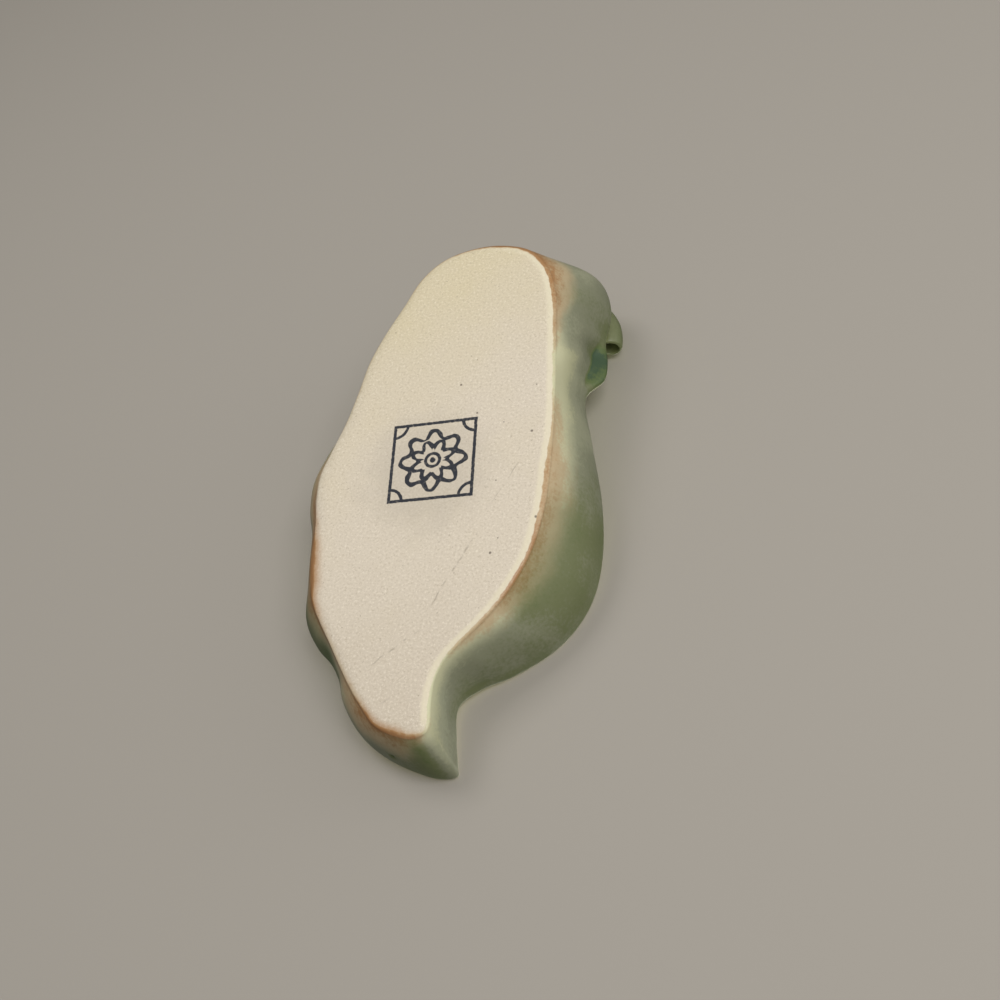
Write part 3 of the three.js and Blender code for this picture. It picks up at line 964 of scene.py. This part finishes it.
def ceramic(name, has_foot):
    """Green glaze, and on the tray a bare foot with a tan flash along its edge."""
    material = bpy.data.materials.new(name)
    material.use_nodes = True
    g = Graph(material.node_tree)
    where = g.node("ShaderNodeTexCoord").outputs["Object"]
    base = glaze_colour(g, where, g.attribute("thick"))
    roughness = g.math("MULTIPLY_ADD", g.noise(where, 6.0), 0.12, GLAZE_ROUGHNESS)
    relief = g.math("MULTIPLY", g.noise(where, 1.4, 2.0), 0.35)
    if has_foot:
        base, glazed, sand = foot_and_band(g, where, base)
        bare = g.math("SUBTRACT", 1.0, glazed)
        roughness = g.math("MULTIPLY_ADD", bare, CLAY_ROUGHER, roughness)
        relief = g.math("ADD", g.math("MULTIPLY", relief, glazed), g.math("MULTIPLY", sand, bare))
    shader = g.node("ShaderNodeBsdfPrincipled")
    g.put(shader.inputs["Base Color"], base)
    g.put(shader.inputs["Roughness"], roughness)
    bump = g.node("ShaderNodeBump")
    bump.inputs["Distance"].default_value = BUMP_HEIGHT * MM
    bump.inputs["Strength"].default_value = BUMP_STRENGTH
    g.put(bump.inputs["Height"], relief)
    g.put(shader.inputs["Normal"], bump.outputs[0])
    out = g.node("ShaderNodeOutputMaterial")
    g.put(out.inputs["Surface"], shader.outputs[0])
    return material


def one_sided(name, base):
    """A pale matt surface seen from its front alone, which fades into the background far away."""
    material = bpy.data.materials.new(name)
    material.use_nodes = True
    g = Graph(material.node_tree)
    front = g.node("ShaderNodeBsdfDiffuse")
    front.inputs["Color"].default_value = base
    clear = g.node("ShaderNodeBsdfTransparent")
    side = g.node("ShaderNodeNewGeometry").outputs["Backfacing"]
    away = g.vector("LENGTH", g.node("ShaderNodeTexCoord").outputs["Object"])
    mixed = g.node("ShaderNodeMixShader")
    g.put(mixed.inputs[0], g.math("MAXIMUM", side, g.ramp(away, FADE_START, FADE_END)))
    g.put(mixed.inputs[1], front.outputs[0])
    g.put(mixed.inputs[2], clear.outputs[0])
    out = g.node("ShaderNodeOutputMaterial")
    g.put(out.inputs["Surface"], mixed.outputs[0])
    return material


def floor(name, centre, normal, material):
    """A square floor seen by the camera alone, from the side that its normal points to."""
    turn = Vector((0, 0, 1)).rotation_difference(normal).to_matrix().to_4x4()
    corners = [(-1, -1), (1, -1), (1, 1), (-1, 1)]
    mesh = bpy.data.meshes.new(name)
    points = [(x * FLOOR_HALF_SIZE, y * FLOOR_HALF_SIZE, 0) for x, y in corners]
    mesh.from_pydata(points, [], [(0, 1, 2, 3)])
    mesh.materials.append(material)
    plane = bpy.data.objects.new(name, mesh)
    plane.matrix_world = Matrix.Translation(centre) @ turn
    bpy.context.scene.collection.objects.link(plane)
    plane.visible_diffuse = False
    plane.visible_glossy = False
    plane.visible_transmission = False
    plane.visible_shadow = False
    return plane


def lamp(name, location, size, watts, tint=(1.0, 1.0, 1.0)):
    """A soft square lamp that points at the middle of the holder."""
    data = bpy.data.lights.new(name, "AREA")
    data.size = size
    data.energy = watts
    data.color = tint
    made = bpy.data.objects.new(name, data)
    made.location = location
    made.rotation_mode = "QUATERNION"
    made.rotation_quaternion = (-Vector(location)).to_track_quat("-Z", "Y")
    bpy.context.scene.collection.objects.link(made)
    return made


def make_world():
    """Soft light from all around, brighter towards the main light, with a plain background for the camera."""
    world = bpy.data.worlds.new("studio")
    bpy.context.scene.world = world
    world.use_nodes = True
    g = Graph(world.node_tree)
    seen = g.node("ShaderNodeBackground")
    seen.inputs["Color"].default_value = BACKGROUND
    light = g.node("ShaderNodeBackground")
    light.inputs["Color"].default_value = ROOM_LIGHT
    direction = g.node("ShaderNodeTexCoord").outputs["Generated"]
    towards_key = g.vector("DOT_PRODUCT", direction, KEY_SIDE)
    g.put(light.inputs["Strength"], g.ramp(towards_key, -0.5, 1.0, ROOM_DIM, ROOM_BRIGHT))
    mixed = g.node("ShaderNodeMixShader")
    g.put(mixed.inputs[0], g.node("ShaderNodeLightPath").outputs["Is Camera Ray"])
    g.put(mixed.inputs[1], light.outputs[0])
    g.put(mixed.inputs[2], seen.outputs[0])
    out = g.node("ShaderNodeOutputWorld")
    g.put(out.inputs["Surface"], mixed.outputs[0])


def make_camera():
    """The camera that took the photograph, below the holder's foot."""
    data = bpy.data.cameras.new("photo_camera")
    data.lens = CAMERA_LENS
    data.sensor_width = SENSOR_WIDTH
    data.clip_start = 0.01
    made = bpy.data.objects.new("photo_camera", data)
    back = CAMERA_RIGHT.cross(CAMERA_UP).normalized()
    right = CAMERA_UP.cross(back).normalized()
    up = back.cross(right)
    turn = Matrix((right, up, back)).transposed().to_4x4()
    made.matrix_world = Matrix.Translation(CAMERA_AT) @ turn
    bpy.context.scene.collection.objects.link(made)
    bpy.context.scene.camera = made


def make_stage():
    """A floor under the foot, a table against the rim and the stem, the lamps and the room, all in metres."""
    below_foot = Vector((0, 0, -FLOOR_DROP))
    floor("floor", below_foot, Vector((0, 0, 1)), one_sided("floor_paint", FLOOR_PALE))
    a, b, c = (Vector(p) * MM for p in TABLE_TOUCHES)
    normal = (b - a).cross(c - a).normalized()
    if normal.z > 0:
        normal.negate()
    floor("table", a, normal, one_sided("table_paint", FLOOR_PALE))
    lamp("lamp_below", (-0.3, 0.0, -0.57), size=0.3, watts=2.04)
    lamp("lamp_across", (0.28, 0.22, -0.52), size=0.25, watts=1.0)
    lamp("lamp_side", (-0.58, 0.3, -0.24), size=0.35, watts=0.28, tint=(0.94, 0.98, 1.0))
    above = lamp("lamp_above", (0.0, 0.0, 1.3), size=1.2, watts=33.0)
    above.visible_glossy = False
    make_world()


make_camera()
tray = make_tray()
stem = make_stem()
for piece, node, slot in ((tray, "leaf_tray", "celadon_tray"), (stem, "leaf_stem", "celadon_stem")):
    piece.data.materials.append(ceramic(slot, has_foot=piece is tray))
    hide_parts(node)
    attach(piece, "root")
make_stage()
bpy.context.scene.view_settings.view_transform = "Standard"
